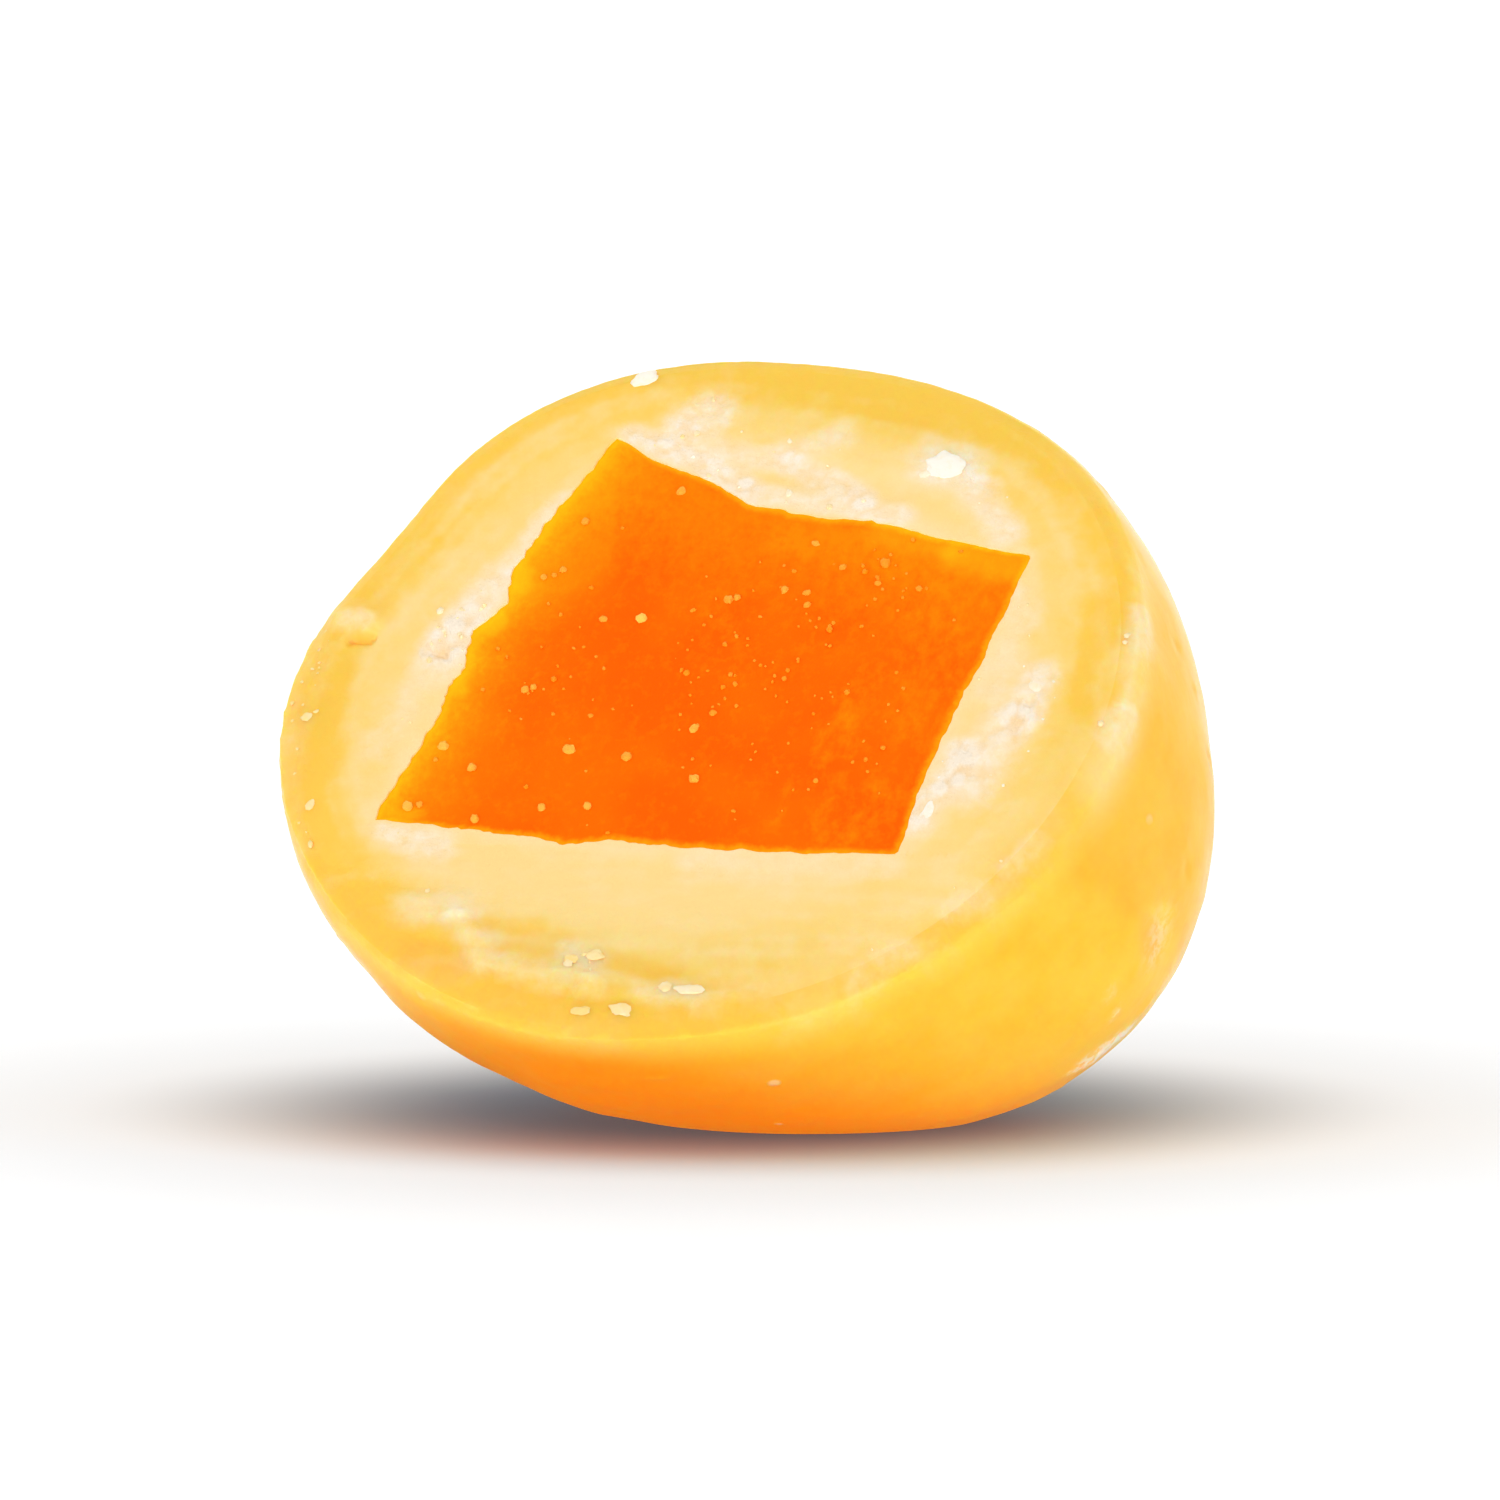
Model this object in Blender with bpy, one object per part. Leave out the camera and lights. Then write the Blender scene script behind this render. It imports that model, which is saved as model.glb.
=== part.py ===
"""Half of a yogurt covered papaya candy, lying as the knife left it.

A diced piece of candied papaya sits in a pale yogurt coat, and a thinner yellow-orange coat goes round that.
The cut slopes up and away from the front (-Y), and shows all three. Metres, +Z up, with the origin under the
middle of the candy on the surface that it rests on.
"""
import math

import bmesh
import bpy
from mathutils import Euler, Matrix, Vector

MM = 0.001
ORDER = Vector((1, 0.6180, 0.3183))  # points and faces are stored in their order along this, so each run is alike

# The whole candy, before it was cut
CANDY_MIDDLE = Vector((-0.14, -1.14, 8.1)) * MM
CANDY_HALF_SIZES = (8.6 * MM, 9.6 * MM, 8.3 * MM)
CANDY_SQUARENESS = 2.5  # 2 is an egg, more is boxier
CANDY_TILT = Euler((math.radians(-4), math.radians(3), math.radians(-13)))
RESTING_BLEND = 0.12 * MM  # how softly the sides run into the flat resting spot

# Where the coat built up or stayed thin: degrees round from +X, degrees up, spread in degrees, height in mm
SWELLINGS = (
    (0, 25, 30, 0.3),
    (0, -12, 28, 1.2),
    (-20, -40, 28, 0.8),
    (180, 0, 30, 1.1),
    (195, 40, 30, -0.3),
    (20, 60, 30, -0.1),
    (185, -45, 30, -0.4),
    (-60, -30, 32, -1.0),
    (62, 8, 28, 0.5),
    (118, 30, 26, -0.4),
    (130, -28, 30, 0.3),
    (85, -42, 28, 0.8),
)

# The knife's cut: its face looks to the front, up, and a little to the left
CUT_TURN = math.radians(-13)
CUT_SLOPE = math.radians(40)
CUT_HEIGHT = 2.6 * MM  # from the candy's middle
RIM_ROUND = 0.45 * MM

# The coats
TINTED_THICKNESS = 1.4 * MM
FIT_GAP = 0.25 * MM
STEPS_ROUND = 80
SKIN_RINGS = 16
WALL_RINGS = 11
FACE_RINGS = 7

# What the knife chipped or smeared on the cut, in mm and degrees on its face:
# across, up the slope, turn, half length, half width, height
CHIPS = (
    (4.1, 5.6, -15, 0.9, 0.6, 0.35),
    (-3.0, 7.6, 25, 0.8, 0.5, 0.30),
    (-2.6, -7.1, -25, 1.5, 0.5, -0.30),
    (0.1, -8.1, -5, 1.7, 0.5, 0.25),
    (-8.3, 1.0, 80, 0.9, 0.6, 0.25),
    (6.5, -1.0, -105, 1.8, 0.7, 0.20),
    (8.5, 0.3, 80, 1.8, 0.45, 0.20),
    (1.5, 5.6, -15, 2.6, 0.6, -0.15),
)

# The diced core: its corners on the cut in mm, from the upper left one clockwise as the face is seen
CORE_CORNERS = ((-3.1, 6.0), (6.1, 3.3), (4.4, -4.4), (-6.6, -3.8))
CORE_DEPTH = 7.0 * MM
CORE_TAPER = 0.76  # of the size on the cut, at the bottom
CORE_SINK = 0.15 * MM  # below the cut of the coats
CORE_LEFT_BULGE = 0.65 * MM
CORE_TOP_DIP = 0.6 * MM
CORE_CUTS = 7


def direction(turn, rise):
    """Unit vector at an angle round from +X and an angle up."""
    return Vector((math.cos(turn) * math.cos(rise), math.sin(turn) * math.cos(rise), math.sin(rise)))


def knife_frame():
    """Rotation whose X runs across the cut, Y up its slope, and Z straight out of it."""
    out = direction(CUT_TURN - math.pi / 2, CUT_SLOPE)
    across = Vector((0, 0, 1)).cross(out).normalized()
    return Matrix((across, out.cross(across), out)).transposed()


KNIFE = knife_frame()
TO_CANDY_AXES = CANDY_TILT.to_matrix().transposed()
BUMPS = [
    (direction(math.radians(turn), math.radians(rise)), math.radians(spread), height * MM)
    for turn, rise, spread, height in SWELLINGS
]


def candy_reach(knife_direction, depth):
    """Distance from the candy's middle to the layer this deep under its skin."""
    towards = KNIFE @ knife_direction
    own = TO_CANDY_AXES @ towards
    parts = (abs(share) / half for share, half in zip(own, CANDY_HALF_SIZES))
    reach = sum(part ** CANDY_SQUARENESS for part in parts) ** (-1 / CANDY_SQUARENESS)
    for bump, spread, height in BUMPS:
        reach += height * math.exp(-(towards.angle(bump) / spread) ** 2)
    if towards.z < 0:
        to_rest = -CANDY_MIDDLE.z / towards.z
        blend = max(RESTING_BLEND - abs(reach - to_rest), 0.0)
        reach = min(reach, to_rest) - blend ** 2 / (4 * RESTING_BLEND)
    return reach - depth


def rim_angle(turn, depth):
    """Angle from straight out of the cut to where a layer meets it, found by halving."""
    low = 0.0
    high = math.pi / 2
    for _ in range(24):
        middle = (low + high) / 2
        towards = Vector((math.sin(middle) * math.cos(turn), math.sin(middle) * math.sin(turn), math.cos(middle)))
        if candy_reach(towards, depth) * towards.z > CUT_HEIGHT:
            low = middle
        else:
            high = middle
    return high


def chipped(across, up):
    """Height of the chips and smears at a point of the cut."""
    height = 0.0
    for chip_across, chip_up, turn, half_length, half_width, rise in CHIPS:
        away = Vector((across - chip_across * MM, up - chip_up * MM))
        away.rotate(Matrix.Rotation(-math.radians(turn), 2))
        share = (away.x / (half_length * MM)) ** 2 + (away.y / (half_width * MM)) ** 2
        height += rise * MM * math.exp(-share)
    return height


def candy_point(turn, share, depth, inward):
    """A point of a coat, in the knife's frame.

    share runs from 0 under the candy to 1 at the cut, along the layer this deep under the skin. On the cut,
    inward then draws the point towards the middle of the face.
    """
    angle = math.pi - share * (math.pi - rim_angle(turn, depth))
    towards = Vector((math.sin(angle) * math.cos(turn), math.sin(angle) * math.sin(turn), math.cos(angle)))
    point = towards * candy_reach(towards, depth)
    if share == 1:
        point.x *= 1 - inward
        point.y *= 1 - inward
        point.z += chipped(point.x, point.y)
    return point


def turned(stations):
    """Spins a profile round the cut's axis, then presses every ring to the candy's own outline.

    Each station of the profile is the share, depth and inward that candy_point takes.
    """
    mesh = bmesh.new()
    layer = mesh.verts.layers.int.new("station")
    profile = [mesh.verts.new(candy_point(0.0, *station)) for station in stations]
    for index, vertex in enumerate(profile):
        vertex[layer] = index
    edges = [mesh.edges.new(pair) for pair in zip(profile, profile[1:])]
    bmesh.ops.spin(
        mesh, geom=profile + edges, axis=(0, 0, 1), cent=(0, 0, 0), angle=math.tau, steps=STEPS_ROUND, use_merge=True
    )
    bmesh.ops.remove_doubles(mesh, verts=mesh.verts, dist=0.00001)
    for vertex in mesh.verts:
        turn = math.atan2(vertex.co.y, vertex.co.x)
        vertex.co = candy_point(turn, *stations[vertex[layer]])
    bmesh.ops.recalc_face_normals(mesh, faces=mesh.faces)
    return mesh, layer


def collection_named(name):
    """A new collection in the scene."""
    collection = bpy.data.collections.new(name)
    bpy.context.scene.collection.children.link(collection)
    return collection


def placed(name, mesh, collection, material):
    """An object from a bmesh, set into the candy's place and slope."""
    bmesh.ops.triangulate(mesh, faces=mesh.faces, quad_method="SHORT_EDGE")
    mesh.verts.sort(key=lambda vertex: vertex.co.dot(ORDER))
    for elements in (mesh.edges, mesh.faces):
        elements.sort(key=lambda element: sum(vertex.co.dot(ORDER) for vertex in element.verts))
    data = bpy.data.meshes.new(name)
    mesh.to_mesh(data)
    mesh.free()
    data.shade_smooth()
    data.set_sharp_from_angle(angle=math.radians(40))
    piece = bpy.data.objects.new(name, data)
    piece.location = CANDY_MIDDLE
    piece.rotation_euler = KNIFE.to_euler()
    collection.objects.link(piece)
    if material:
        data.materials.append(material)
    return piece


def food_material(name, colour, roughness):
    """A plain Principled material."""
    material = bpy.data.materials.new(name)
    material.use_nodes = True
    shader = material.node_tree.nodes["Principled BSDF"]
    shader.inputs["Base Color"].default_value = (*colour, 1)
    shader.inputs["Roughness"].default_value = roughness
    shader.inputs["Metallic"].default_value = 0
    return material


def tinted_coat(collection):
    """The outer coat: a thin cup, open at the cut, with a rounded outer rim."""
    skin = [(ring / SKIN_RINGS, 0.0, 0.0) for ring in range(SKIN_RINGS + 1)]
    face = [(1, TINTED_THICKNESS * share, 0.0) for share in (0.5, 0.75)]
    wall = [(ring / WALL_RINGS, TINTED_THICKNESS, 0.0) for ring in range(WALL_RINGS, -1, -1)]
    mesh, layer = turned(skin + face + wall)
    rim = [edge for edge in mesh.edges if all(vertex[layer] == SKIN_RINGS for vertex in edge.verts)]
    bmesh.ops.bevel(
        mesh, geom=rim, offset=RIM_ROUND, offset_type="OFFSET", affect="EDGES", segments=2, profile=0.5, material=-1
    )
    return placed("tinted_coat", mesh, collection, food_material("tinted_coat", (0.96, 0.47, 0.08), 0.35))


def dice(grow, raise_top):
    """The cut dice of papaya, or a slightly larger one with a raised top that cuts its pocket."""
    mesh = bmesh.new()
    bmesh.ops.create_cube(mesh, size=2)
    bmesh.ops.subdivide_edges(mesh, edges=mesh.edges, cuts=CORE_CUTS, use_grid_fill=True)
    upper_left, upper_right, lower_right, lower_left = (Vector(corner) * MM for corner in CORE_CORNERS)
    middle = (upper_left + upper_right + lower_right + lower_left) / 4
    for vertex in mesh.verts:
        x, y, z = vertex.co
        top = upper_left.lerp(upper_right, (x + 1) / 2)
        bottom = lower_left.lerp(lower_right, (x + 1) / 2)
        across, up = bottom.lerp(top, (y + 1) / 2)
        across -= CORE_LEFT_BULGE * (1 - y * y) * (1 - x) / 2
        up -= CORE_TOP_DIP * math.exp(-((x + 0.2) / 0.4) ** 2) * (1 + y) / 2
        taper = 1 + (CORE_TAPER - 1) * (1 - z) / 2
        across = middle.x + (across - middle.x) * taper
        up = middle.y + (up - middle.y) * taper
        vertex.co = (across, up, CUT_HEIGHT - CORE_SINK - CORE_DEPTH * (1 - z) / 2)
    mesh.normal_update()
    top_verts = [vertex for vertex in mesh.verts if vertex.co.z > CUT_HEIGHT - CORE_SINK - 0.01 * MM]
    outward = {vertex: vertex.normal.copy() for vertex in mesh.verts}
    for vertex in mesh.verts:
        vertex.co += outward[vertex] * grow
    for vertex in top_verts:
        vertex.co.z += raise_top
    return mesh


def papaya_core(collection):
    """The dice of candied papaya, level with the cut but for a slight sink."""
    mesh = dice(0.0, 0.0)
    return placed("papaya_core", mesh, collection, food_material("papaya_core", (0.97, 0.16, 0.005), 0.3))


def pale_coat(collection, cutters):
    """The inner coat: fills the tinted cup up to the cut, with a pocket that holds the dice."""
    depth = TINTED_THICKNESS + FIT_GAP
    wall = [(ring / WALL_RINGS, depth, 0.0) for ring in range(WALL_RINGS + 1)]
    face = [(1, depth, ring / FACE_RINGS) for ring in range(1, FACE_RINGS + 1)]
    mesh, _ = turned(wall + face)
    coat = placed("pale_coat", mesh, collection, food_material("pale_coat", (0.98, 0.78, 0.45), 0.5))
    pocket = placed("core_pocket", dice(FIT_GAP, 2 * MM), cutters, None)
    pocket.hide_render = True
    pocket.display_type = "WIRE"
    cut = coat.modifiers.new("core_pocket", "BOOLEAN")
    cut.object = pocket
    cut.operation = "DIFFERENCE"
    cut.solver = "EXACT"
    return coat


for old_object in list(bpy.data.objects):
    bpy.data.objects.remove(old_object)

candy = collection_named("yogurt_covered_papaya")
knives = collection_named("cutters")
tinted_coat(candy)
pale_coat(candy, knives)
papaya_core(candy)
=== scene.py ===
import math

import bmesh
import bpy
import numpy as np
from mathutils import Euler, Matrix, Vector, noise


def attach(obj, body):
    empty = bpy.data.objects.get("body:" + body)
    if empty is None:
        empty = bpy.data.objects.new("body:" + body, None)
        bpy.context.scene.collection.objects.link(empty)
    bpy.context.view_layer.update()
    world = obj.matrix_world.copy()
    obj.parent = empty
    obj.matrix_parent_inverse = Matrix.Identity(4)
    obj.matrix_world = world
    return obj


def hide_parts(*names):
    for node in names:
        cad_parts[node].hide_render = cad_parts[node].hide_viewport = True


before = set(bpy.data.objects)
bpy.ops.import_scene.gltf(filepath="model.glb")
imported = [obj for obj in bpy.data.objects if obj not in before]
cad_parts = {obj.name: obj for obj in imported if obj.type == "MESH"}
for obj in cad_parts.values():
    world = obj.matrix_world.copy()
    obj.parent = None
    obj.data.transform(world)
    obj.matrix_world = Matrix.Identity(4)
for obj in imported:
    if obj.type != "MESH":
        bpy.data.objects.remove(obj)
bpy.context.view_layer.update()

# Yogurt coat
# A lumpy ball of pale yogurt coating with a thinner, yellow-orange one over it, built up by rolling, then
# cut in half on a slope. The tint fades into the pale coat on the cut, so both are one piece here, with the
# pocket that holds the papaya.

MM = 0.001
CANDY_MIDDLE = np.array((-0.14, -1.14, 8.1)) * MM
CANDY_HALF_SIZES = np.array((8.6, 9.6, 8.3)) * MM
CANDY_SQUARENESS = 2.5
CANDY_TILT = Euler((math.radians(-4), math.radians(3), math.radians(-13)))
RESTING_BLEND = 0.12 * MM

# Where the coat built up or stayed thin: degrees round from +X, degrees up, spread in degrees, height in mm
SWELLINGS = (
    (0, 25, 30, 0.2),
    (0, -12, 28, 1.2),
    (-20, -40, 28, 0.8),
    (180, 0, 30, 1.1),
    (195, 40, 30, -0.3),
    (20, 60, 30, -0.1),
    (185, -45, 30, -0.4),
    (-60, -30, 32, -1.0),
    (62, 8, 28, 0.5),
    (118, 30, 26, -0.4),
    (130, -28, 30, 0.3),
    (85, -42, 28, 0.8),
    (165, 28, 16, -0.32),
    (80, 78, 26, 0.12),
)

# The knife's cut: it looks to the front, up, and a little to the left, and its height is its distance from
# the candy's middle. Its rim is softest at the lower right.
CUT_TURN = math.radians(-13)
CUT_SLOPE = math.radians(40)
CUT_HEIGHT = 2.6 * MM
RIM_BLEND = 0.7 * MM
SOFT_RIM_BLEND = 2.0 * MM
SOFT_RIM_TURN = math.radians(-58)
SOFT_RIM_SPREAD = math.radians(95)

# The pocket's edge on the cut in mm, from its upper left corner clockwise as the face is seen: across, up
TOP_EDGE = (
    (-3.22, 6.18), (-2.40, 5.62), (-0.90, 5.02), (-0.05, 4.46), (1.50, 4.17), (2.60, 4.14), (4.10, 3.70),
)
RIGHT_EDGE = (
    (6.25, 3.24), (5.62, 0.75), (5.12, -1.00), (4.70, -2.75),
)
BOTTOM_EDGE = (
    (4.45, -4.52), (2.40, -4.54), (-0.30, -4.46), (-1.80, -4.30), (-2.80, -4.46), (-3.60, -4.24),
    (-5.30, -4.08),
)
LEFT_EDGE = (
    (-7.00, -3.92), (-6.05, -1.35), (-5.93, -0.45), (-5.62, 0.10), (-5.60, 1.05), (-5.00, 1.80),
    (-4.96, 2.65), (-4.40, 3.95),
)
POCKET_EDGE = TOP_EDGE + RIGHT_EDGE + BOTTOM_EDGE + LEFT_EDGE
POCKET_MIDDLE = np.array(POCKET_EDGE).mean(axis=0) * MM
POCKET_DEPTH = 7.0 * MM
POCKET_TAPER = 0.76
EDGE_STEPS = 40
EDGE_RAGGED = 0.035 * MM
LEFT_EDGE_RAGGED = 0.065 * MM

STEPS_ROUND = 440
SKIN_RINGS = 84
CUT_RINGS = 90
POCKET_RINGS = 6
WELD_DISTANCE = 0.01 * MM
RIM_HALVINGS = 24

# Pale coat that the knife smeared and crumbled, and painted highlights on the lit rim, lip and a bump, as
# strokes on the cut in mm: from (across, up), to (across, up), half width, paleness, crumbling
PALE_STROKES_AND_HIGHLIGHTS = (
    ((-1.7, 6.7), (-1.1, 6.9), 0.50, 0.8, 0.4),
    ((-2.8, 6.2), (-0.2, 4.9), 0.35, 0.9, 0.6),
    ((-2.0, 6.3), (-0.6, 5.7), 0.40, 0.5, 0.4),
    ((0.0, 5.6), (1.7, 6.3), 0.34, 0.6, 0.4),
    ((0.7, 5.5), (2.5, 4.7), 0.33, 0.8, 0.5),
    ((-0.1, 4.8), (3.3, 4.2), 0.30, 0.7, 0.4),
    ((3.8, 5.6), (4.3, 5.5), 0.55, 0.9, 0.2),
    ((4.8, 5.0), (5.6, 3.8), 0.42, 0.7, 0.3),
    ((6.2, 2.0), (6.3, 1.6), 0.40, 0.4, 0.3),
    ((6.1, 0.8), (5.9, -0.3), 0.40, 0.4, 0.3),
    ((6.9, 0.1), (6.7, -0.9), 0.42, 0.9, 1.0),
    ((6.4, -1.2), (5.8, -2.7), 0.60, 0.8, 1.0),
    ((5.5, -2.0), (4.8, -3.6), 0.40, 0.9, 0.8),
    # Painted highlights along the lit right and lower right rim, partly on real ridges
    ((8.8, 1.9), (8.7, 1.2), 0.27, 0.6, 0.1),
    ((8.8, 0.9), (8.7, -0.5), 0.14, 0.3, 0.0),
    ((9.1, 3.0), (9.0, -2.0), 0.70, 0.06, 0.0),
    ((8.7, -0.7), (8.5, -1.3), 0.28, 0.6, 0.1),
    ((7.3, -4.1), (6.8, -4.8), 0.32, 0.35, 0.1),
    ((6.3, -5.5), (5.8, -5.8), 0.32, 0.35, 0.1),
    ((4.9, -6.9), (3.9, -7.6), 0.32, 0.3, 0.1),
    ((2.1, -8.1), (1.2, -8.3), 0.30, 0.15, 0.1),
    ((0.2, -4.9), (4.2, -4.8), 0.40, 0.25, 0.0),
    ((-2.1, -5.4), (2.2, -5.4), 0.40, 0.05, 0.0),
    ((-6.7, -4.3), (-5.3, -4.6), 0.35, 0.7, 0.3),
    ((-5.9, -6.1), (-4.7, -6.1), 0.40, 0.3, 0.2),
    ((-4.7, -6.4), (-4.0, -7.5), 0.34, 0.35, 0.5),
    ((-3.5, -7.7), (-1.7, -8.0), 0.36, 0.3, 0.7),
    ((-2.2, -7.2), (-1.6, -7.4), 0.30, 0.4, 0.7),
    # Painted highlight along the lower lip, on pale coat
    ((-1.5, -8.0), (1.0, -8.3), 0.34, 0.15, 0.3),
    ((-0.4, -8.1), (0.6, -8.2), 0.26, 0.35, 0.2),
    ((-8.9, 0.8), (-9.3, -1.5), 0.60, 0.15, 0.8),
    ((-9.2, -2.0), (-8.7, -4.6), 0.40, 0.15, 0.6),
    ((-5.3, 2.3), (-6.2, 0.5), 0.42, 0.7, 0.4),
    ((-6.0, 1.2), (-6.3, 0.1), 0.55, 0.5, 0.7),
    ((-4.2, 4.5), (-5.0, 2.7), 0.25, 0.5, 0.1),
    ((-7.2, -2.1), (-6.7, -0.6), 0.40, 0.3, 0.1),
    # Painted highlight on the bump at the left rim, on pale coat
    ((-8.4, 1.25), (-8.0, 1.1), 0.24, 0.55, 0.2),
)

# Places of the cut that show more of the tint, or less with a minus sign, two of them painted shade: from,
# to, half width, strength
TINT_AND_SHADE_STROKES = (
    ((-3.5, -6.9), (-2.5, -7.0), 0.35, 0.55),
    ((-1.3, -7.4), (0.0, -7.6), 0.35, 0.45),
    ((-5.6, -7.2), (-4.6, -7.5), 0.40, 0.8),
    ((-4.4, -6.6), (-2.9, -6.5), 0.20, 0.5),
    ((-9.0, -3.2), (-8.3, -5.4), 0.55, 0.7),
    ((-7.8, -5.9), (-6.1, -7.4), 0.60, 0.8),
    ((8.0, 1.9), (7.9, -0.6), 0.35, 0.4),
    ((2.5, 6.9), (4.5, 6.3), 0.40, 0.3),
    ((-8.6, 2.4), (-6.4, 6.0), 0.45, 0.6),
    ((-8.3, -0.4), (-8.2, -2.6), 0.50, 0.3),
    ((-9.1, -1.0), (-9.1, -3.0), 0.40, 0.6),
    # Painted shade in the crack under the bump at the left rim
    ((-8.2, 0.72), (-7.8, 0.68), 0.10, 1.0),
    ((9.2, 3.0), (8.9, -2.0), 0.90, -1.1),
    ((8.8, -2.0), (3.0, -8.2), 0.90, -0.8),
    # Painted shade: the lit lower left rim made deeper orange
    ((-7.0, -6.8), (-3.0, -8.6), 0.60, 0.2),
    ((-5.5, -8.2), (-1.0, -9.2), 0.40, 0.4),
)

# Ridges and hollows that the knife left on the cut: from, to, half width, height in mm
RIDGES = (
    ((-8.4, 1.3), (-7.9, 1.15), 0.36, 0.16),
    ((-8.2, 0.72), (-7.8, 0.68), 0.09, -0.12),
    ((-5.9, -6.1), (-4.7, -6.1), 0.30, 0.07),
    ((-4.7, -6.4), (-4.0, -7.5), 0.24, 0.13),
    ((-3.5, -7.7), (-1.7, -8.0), 0.28, 0.12),
    ((-1.5, -8.0), (1.4, -8.3), 0.30, 0.09),
    ((-3.5, -6.9), (-2.5, -7.0), 0.36, -0.07),
    ((-1.3, -7.4), (0.0, -7.6), 0.40, -0.06),
    ((-5.6, -7.2), (-4.6, -7.5), 0.35, -0.14),
    ((8.8, 1.9), (8.7, 1.0), 0.22, 0.05),
    ((8.7, -0.6), (8.5, -1.4), 0.22, 0.05),
    ((7.3, -4.1), (6.8, -4.8), 0.20, 0.05),
    ((1.0, 5.4), (3.0, 5.0), 0.40, -0.06),
    ((6.6, -0.6), (5.2, -3.2), 0.70, 0.05),
    ((-6.4, 0.5), (-6.2, 0.4), 0.13, -0.16),
    ((6.7, -0.5), (6.7, -0.6), 0.12, -0.14),
)

# Rubbed and nicked places of the skin, and among them painted glints and a painted line of rim light:
# degrees round from +X, degrees up, radius and height in mm, paleness
SCUFFS_AND_GLINTS = (
    (-16.5, -21.6, 0.50, -0.03, 0.35),
    (-16.0, -25.0, 0.36, -0.02, 0.30),
    (-23.7, -30.5, 0.13, 0.04, 0.60),
    (-19.3, -33.2, 0.14, 0.04, 0.60),
    # Painted rim light: a line of painted highlight along the lower right edge
    (-14.5, -42.5, 0.20, 0.01, 1.20),
    (-13.5, -41.0, 0.26, 0.01, 1.60),
    (-11.5, -39.5, 0.30, 0.01, 1.80),
    (-9.5, -38.0, 0.30, 0.01, 1.80),
    (-8.0, -36.3, 0.24, 0.01, 1.40),
    # Painted glints at the left edge
    (-165, -11.5, 0.26, 0.03, 0.60),
    (-152, -20.2, 0.16, 0.04, 0.50),
    # Scuffs in the back
    (58, 36, 0.50, -0.03, 0.40),
    (101, -6, 0.36, 0.03, 0.50),
    (148, 12, 0.42, -0.03, 0.40),
    (22, 52, 0.30, 0.03, 0.50),
    (171, 30, 0.26, 0.03, 0.50),
    (122, 58, 0.38, -0.02, 0.50),
    (84, 8, 0.20, 0.05, 0.60),
)

# Brownish dimples in the back: degrees round from +X, degrees up, radius in mm
DIMPLES = (
    (108, 22, 0.55),
    (62, -18, 0.42),
)


def direction(turn, rise):
    """Unit vector at an angle round from +X and an angle up."""
    return Vector((math.cos(turn) * math.cos(rise), math.sin(turn) * math.cos(rise), math.sin(rise)))


def knife_frame():
    """Rotation whose X runs across the cut, Y up its slope, and Z straight out of it."""
    out = direction(CUT_TURN - math.pi / 2, CUT_SLOPE)
    across = Vector((0, 0, 1)).cross(out).normalized()
    return Matrix((across, out.cross(across), out)).transposed()


KNIFE = knife_frame()
BUMPS = [
    (np.array(direction(math.radians(turn), math.radians(rise))), math.radians(spread), height * MM)
    for turn, rise, spread, height in SWELLINGS
]


def in_room(rows):
    """Turns rows from the knife's frame to the room's, about the candy's middle."""
    return rows @ np.array(KNIFE).T


def step_between(low, high, value):
    """0 below low, 1 above high, and smooth between them."""
    share = np.clip((value - low) / (high - low), 0, 1)
    return share * share * (3 - 2 * share)


def lumps(points, size, shift):
    """Noise from about -1 to 1 at each point, with lumps about this many millimetres apart."""
    return np.array([noise.noise(row) for row in (points / (size * MM) + shift).tolist()])


# Crumbled coat: how fast its finer lumps fade, how many times finer each layer of them is, and the layers
CRUMBLE_FADE = 0.8
CRUMBLE_FINER = 2.1
CRUMBLE_LAYERS = 4


def crumble(points, size, shift):
    """Rougher noise at each point, with ever finer lumps in it."""
    rows = (points / (size * MM) + shift).tolist()
    return np.array([noise.fractal(row, CRUMBLE_FADE, CRUMBLE_FINER, CRUMBLE_LAYERS) for row in rows])


# How far a crumb's rounded top reaches, in shares of the crumbs' spacing
GRAIN_REACH = 0.72


def grains(points, size, shift):
    """Rounded crumbs at each point, about this many millimetres apart and from 0 to 1 high."""
    heights = []
    for row in (points / (size * MM) + shift).tolist():
        distances, middles = noise.voronoi(row)
        tall = 0.6 + 0.8 * noise.noise(middles[0] * 7.3)
        heights.append(tall * max(0, 1 - (distances[0] / GRAIN_REACH) ** 2))
    return np.array(heights)


# Below this height on the cut, in mm, the coat's soft lines run level
LEVEL_BELOW = -4.5


def layers(points, depth, size, shift):
    """Noise in soft lines about this many millimetres apart, along the rim and level below the papaya."""
    across, up, _ = points.T / MM
    turns = np.arctan2(up, across)
    along_rim = np.column_stack((np.cos(turns) / size * 0.6, np.sin(turns) / size * 0.6, depth / size))
    level = np.column_stack((across / (5 * size), up / size, np.zeros(len(points))))
    rows = np.where((up < LEVEL_BELOW)[:, None], level, along_rim) + shift
    return np.array([noise.noise(row) for row in rows.tolist()])


def strokes(points, table):
    """Sums of a table's strokes, with ragged soft edges, at each point. Each strength gives a column."""
    ragged = [0.16 * lumps(points, 0.8, shift) + 0.07 * lumps(points, 0.25, shift) for shift in (21, 34)]
    flat = points[:, :2] / MM + np.stack(ragged, axis=1)
    total = 0
    for start, end, half_width, *strengths in table:
        along = np.subtract(end, start)
        share = np.clip((flat - start) @ along / (along @ along), 0, 1)
        away = np.linalg.norm(flat - start - share[:, None] * along, axis=1)
        total = total + np.outer(np.exp(-(away / half_width) ** 3), strengths)
    return total


def from_middle(towards, place_turn, place_rise):
    """Angle of each direction from a place given by degrees round from +X and degrees up."""
    place = np.array(direction(math.radians(place_turn), math.radians(place_rise)))
    return np.arccos(np.clip(in_room(towards) @ place, -1, 1))


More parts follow.
